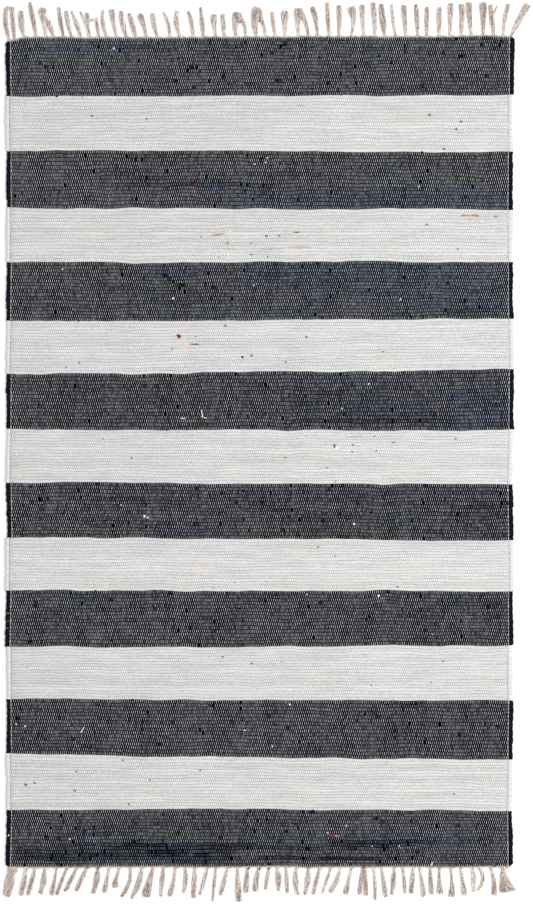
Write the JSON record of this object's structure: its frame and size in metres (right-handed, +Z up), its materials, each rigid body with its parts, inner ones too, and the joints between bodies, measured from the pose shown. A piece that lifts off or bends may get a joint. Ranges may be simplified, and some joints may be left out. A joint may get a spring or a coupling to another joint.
{
  "type": "rag rug",
  "caption": "Flat hand-woven rag rug with wide dark and light stripes across, rolled selvedges and a yarn tassel fringe along each short end.",
  "frame": {"origin": "middle of the cloth's underside, on the floor", "axes": "+X across the rug from selvedge to selvedge, +Y along its length to the far fringe, +Z up from the floor"},
  "size_m": [0.9318, 1.5943, 0.0065],
  "materials": {
    "rag_weave": "matte woven rag, charcoal and off-white stripes",
    "warp_fringe": "matte twisted yarn, pinkish beige"
  },
  "bodies": {
    "root": {"rag_cloth": "rag_weave", "far_fringe": "warp_fringe", "near_fringe": "warp_fringe"}
  },
  "joints": []
}
